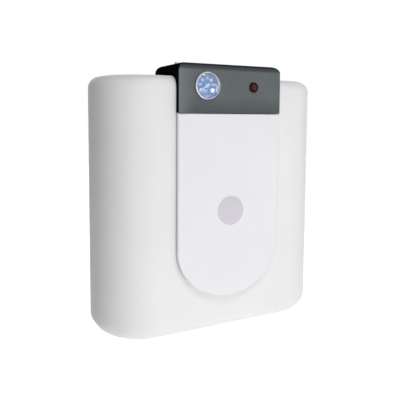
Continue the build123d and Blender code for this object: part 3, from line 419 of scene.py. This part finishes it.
# Gauge face: a pressed disc with a shallow rim
bpy.ops.mesh.primitive_circle_add(vertices=96, radius=DIAL_RADIUS * MM, fill_type="NGON")
face = bpy.context.object
bpy.ops.object.mode_set(mode="EDIT")
bpy.ops.mesh.select_all(action="SELECT")
bpy.ops.mesh.inset(thickness=DIAL_RIM * MM, depth=0)
bpy.ops.mesh.inset(thickness=0.3 * MM, depth=-0.25 * MM)
bpy.ops.mesh.inset(thickness=DIAL_CENTRE * MM, depth=0)
bpy.ops.mesh.inset(thickness=0.25 * MM, depth=0.12 * MM)
bpy.ops.object.mode_set(mode="OBJECT")
thick = face.modifiers.new("sheet", "SOLIDIFY")
thick.thickness = DIAL_SHEET * MM
thick.offset = -1
face.rotation_euler = (pi / 2, 0, 0)
face.location = facing_front(0, 0, -DIAL_FACE)
dial_face = keep(face, "dial_face", dial_blue, "heater")
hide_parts("gauge_dial")

# Printed ticks, long at each numbered mark
ticks = []
for k in range(TICK_STEPS + 1):
    angle = NEEDLE_START - NEEDLE_SWEEP * k / TICK_STEPS
    numbered = k % (TICK_STEPS // PRINT_MARKS) == 0
    middle = k % 2 == 0
    length = 2.8 if numbered else (1.9 if middle else 1.2)
    width = 0.9 if numbered else 0.45
    bpy.ops.mesh.primitive_cube_add(size=1)
    tick = bpy.context.object
    tick.scale = (length * MM, width * MM, TICK_HEIGHT * MM)
    tick.rotation_euler = (pi / 2, -radians(angle), 0)
    tick.location = facing_front(TICK_RING - length / 2, angle, -DIAL_FACE - 0.22)
    ticks.append(tick)
keep(join(ticks), "dial_ticks", dial_print, "heater")

# Plain numbers, in degrees
numbers = []
for k in range(PRINT_MARKS + 1):
    angle = NEEDLE_START - NEEDLE_SWEEP * k / PRINT_MARKS
    bpy.ops.object.text_add()
    label = bpy.context.object
    label.data.body = str(PRINT_STEP * k)
    label.data.size = PRINT_SIZE * MM
    label.data.align_x = "CENTER"
    label.data.align_y = "CENTER"
    label.data.extrude = 0.03 * MM
    label.data.offset = 0.12 * MM
    label.rotation_euler = (pi / 2, 0, 0)
    label.location = facing_front(PRINT_RING, angle, -DIAL_FACE - 0.2)
    clean_selection()
    label.select_set(True)
    bpy.context.view_layer.objects.active = label
    bpy.ops.object.convert(target="MESH")
    numbers.append(bpy.context.object)
keep(join(numbers), "dial_numbers", dial_print, "heater")


def pipe_with_thread(name, side):
    """Threaded water stub: a lathe-turned tube with a helical ridge at its lower end."""
    height = (PIPE_TOP - PIPE_END) * MM
    bpy.ops.mesh.primitive_cylinder_add(vertices=96, radius=THREAD_ROOT * MM, depth=height)
    tube = bpy.context.object
    tube.location = (side * PIPE_X * MM, PIPE_Y * MM, (PIPE_TOP + PIPE_END) / 2 * MM)
    bpy.ops.object.transform_apply(location=True, rotation=True, scale=True)
    bpy.ops.object.mode_set(mode="EDIT")
    bpy.ops.mesh.select_all(action="DESELECT")
    bpy.ops.object.mode_set(mode="OBJECT")
    for polygon in tube.data.polygons:
        polygon.select = abs(polygon.normal.z) > 0.9
    bpy.ops.object.mode_set(mode="EDIT")
    bpy.ops.mesh.inset(thickness=(THREAD_ROOT - PIPE_BORE) * MM, use_individual=True)
    bpy.ops.mesh.bridge_edge_loops()
    bpy.ops.object.mode_set(mode="OBJECT")
    turns = (THREAD_TOP - PIPE_END - THREAD_PITCH) / THREAD_PITCH
    tooth = THREAD_PITCH / 2
    rise = THREAD_RADIUS - THREAD_ROOT
    profile = bpy.data.meshes.new(name + "_tooth")
    low = PIPE_END + THREAD_PITCH / 2
    foot = THREAD_ROOT - 0.1
    shoulder = THREAD_ROOT + rise * 0.85
    points = [(foot, low - tooth * 0.9), (shoulder, low - tooth * 0.22), (THREAD_ROOT + rise, low),
              (shoulder, low + tooth * 0.22), (foot, low + tooth * 0.9)]
    profile.from_pydata([(r * MM, 0, z * MM) for r, z in points], [(i, i + 1) for i in range(4)], [])
    ridge = bpy.data.objects.new(name + "_tooth", profile)
    bpy.context.scene.collection.objects.link(ridge)
    screw = ridge.modifiers.new("thread", "SCREW")
    screw.angle = 2 * pi * turns
    screw.screw_offset = THREAD_PITCH * turns * MM
    screw.steps = int(THREAD_STEPS * turns)
    screw.render_steps = screw.steps
    screw.use_merge_vertices = False
    ridge.location = (side * PIPE_X * MM, PIPE_Y * MM, 0)
    clean_selection()
    ridge.select_set(True)
    bpy.context.view_layer.objects.active = ridge
    bpy.ops.object.convert(target="MESH")
    bpy.ops.object.transform_apply(location=True, rotation=True, scale=True)
    made = keep(join([tube, ridge]), name, tank_steel, "heater")
    clean_selection()
    made.select_set(True)
    bpy.context.view_layer.objects.active = made
    bpy.ops.object.shade_smooth_by_angle(angle=radians(35))
    return made


inlet = pipe_with_thread("inlet_stub", 1)
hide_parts("inlet_pipe")
outlet = pipe_with_thread("outlet_stub", -1)
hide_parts("outlet_pipe")

# Ribbed grip of the gland's nut, hollow for the cable
nut_height = (NUT_TOP - NUT_LOW) * MM
bpy.ops.mesh.primitive_cylinder_add(vertices=NUT_RIBS * 4, radius=NUT_RADIUS * MM, depth=nut_height)
nut = bpy.context.object
nut.location = (GLAND_X * MM, GLAND_Y * MM, (NUT_TOP + NUT_LOW) / 2 * MM)
bpy.ops.object.transform_apply(location=True, rotation=True, scale=True)
for polygon in nut.data.polygons:
    polygon.select = abs(polygon.normal.z) < 0.1 and polygon.index % 4 < 2
bpy.ops.object.mode_set(mode="EDIT")
bpy.ops.mesh.select_mode(type="FACE")
bpy.ops.mesh.inset(thickness=0.05 * MM, depth=-RIB_DEPTH * MM, use_individual=False)
bpy.ops.mesh.select_all(action="DESELECT")
bpy.ops.object.mode_set(mode="OBJECT")
for polygon in nut.data.polygons:
    polygon.select = abs(polygon.normal.z) > 0.9
bpy.ops.object.mode_set(mode="EDIT")
ring = (NUT_RADIUS - CABLE_RADIUS) * MM
bpy.ops.mesh.inset(thickness=ring * 0.55, use_individual=True)
bpy.ops.mesh.inset(thickness=ring * 0.45, use_individual=True)
bpy.ops.mesh.bridge_edge_loops()
bpy.ops.object.mode_set(mode="OBJECT")
soften = nut.modifiers.new("edges", "BEVEL")
soften.width = 0.25 * MM
soften.segments = 2
soften.angle_limit = radians(50)
grip = keep(nut, "gland_grip", black_plastic, "heater")
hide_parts("gland_nut")


def area_light(name, place, target, size, power, tone="#ffffff"):
    """Soft box aimed at a target."""
    bpy.ops.object.light_add(type="AREA", location=place)
    lamp = bpy.context.object
    lamp.name = name
    lamp.data.shape = "RECTANGLE"
    lamp.data.size, lamp.data.size_y = size
    lamp.data.energy = power
    lamp.data.color = colour(tone)[:3]
    lamp.rotation_euler = (Vector(target) - Vector(place)).to_track_quat("-Z", "Y").to_euler()
    lamp.visible_camera = False
    return lamp


def seen_directly(tree):
    """1 for rays by which a surface is seen, straight or in metal and glass, 0 for the light it gives."""
    path = tree.nodes.new("ShaderNodeLightPath")
    direct = path.outputs["Is Camera Ray"]
    for kind in ("Is Glossy Ray", "Is Transmission Ray"):
        either = tree.nodes.new("ShaderNodeMath")
        either.operation = "MAXIMUM"
        tree.links.new(direct, either.inputs[0])
        tree.links.new(path.outputs[kind], either.inputs[1])
        direct = either.outputs["Value"]
    return direct


def studio():
    """Plain white floor, soft light and the camera of the photograph.

    The world and the floor look white to the eye and give hardly any light, so that the lamps
    alone set the object's tones and the floor still keeps its shadow.
    """
    scene = bpy.context.scene
    scene.view_settings.view_transform = "Standard"
    scene.view_settings.look = "None"
    world = bpy.data.worlds.new("studio")
    scene.world = world
    world.use_nodes = True
    tree = world.node_tree
    sky = tree.nodes["Background"]
    sky.inputs["Color"].default_value = colour("#f4f6fa")
    sky.inputs["Strength"].default_value = SKY_LIGHT
    white = tree.nodes.new("ShaderNodeBackground")
    white.inputs["Color"].default_value = (1, 1, 1, 1)
    either = tree.nodes.new("ShaderNodeMixShader")
    tree.links.new(seen_directly(tree), either.inputs["Fac"])
    tree.links.new(sky.outputs["Background"], either.inputs[1])
    tree.links.new(white.outputs["Background"], either.inputs[2])
    tree.links.new(either.outputs["Shader"], tree.nodes["World Output"].inputs["Surface"])

    bpy.ops.mesh.primitive_plane_add(size=FLOOR_SIZE, location=(0, 0, FLOOR_Z))
    floor = bpy.context.object
    floor.name = "floor"
    paper = Finish("floor_paper", "#f6f6f6", 0.9)
    paper.tint(paper.noise(400, 2), "#f2f2f2", most=0.5)
    paper.bump(paper.noise(2, 2), 0.02)
    paper.shader.inputs["Emission Color"].default_value = (1, 1, 1, 1)
    away = paper.tree.nodes.new("ShaderNodeVectorMath")
    away.operation = "LENGTH"
    paper.link(paper.place, away.inputs[0])
    glow = paper.spread(away.outputs["Value"], FLOOR_GLOW, 1.0, GLOW_NEAR, GLOW_FAR)
    glow = paper.maths("MULTIPLY", glow, seen_directly(paper.tree))
    paper.link(glow, paper.shader.inputs["Emission Strength"])
    floor.data.materials.append(paper.material)

    centre = (0, -0.06, -0.12)
    area_light("front", (0.0, -1.6, -0.38), centre, (1.0, 0.4), 2.6)
    area_light("front_left", (-0.9, -1.3, -0.2), centre, (0.5, 0.5), 4.8)
    area_light("left", (-1.3, -0.6, -0.15), centre, (0.5, 0.5), 0.5)
    area_light("right", (1.5, -0.6, -0.05), centre, (0.6, 0.6), 2.9)
    area_light("front_right", (0.77, -0.96, -0.2), centre, (0.28, 0.28), 1.6)
    area_light("high", (0.0, -0.9, 1.2), centre, (0.6, 0.6), 9.5)
    area_light("low", (0.0, -0.75, -0.56), centre, (0.9, 0.3), 0.9)
    area_light("back", (0.8, 1.5, 0.3), centre, (0.8, 0.8), 7)
    area_light("under", (0.0, -0.2, -0.6), (0, -0.06, 1.0), (0.7, 0.4), 0.45)

    bpy.ops.object.camera_add(location=CAMERA_PLACE)
    camera = bpy.context.object
    yaw, pitch, roll = (radians(v) for v in CAMERA_TURN)
    forward = Vector((sin(yaw) * cos(pitch), cos(yaw) * cos(pitch), -sin(pitch)))
    level = Vector((cos(yaw), -sin(yaw), 0))
    upright = level.cross(forward)
    right = cos(roll) * level + sin(roll) * upright
    up = -sin(roll) * level + cos(roll) * upright
    turn = Matrix((right, up, -forward)).transposed()
    camera.rotation_euler = turn.to_euler()
    camera.data.sensor_width = 36
    camera.data.lens = CAMERA_LENS
    camera.data.shift_y = CAMERA_SHIFT
    camera.data.clip_start = 0.01
    scene.camera = camera


studio()
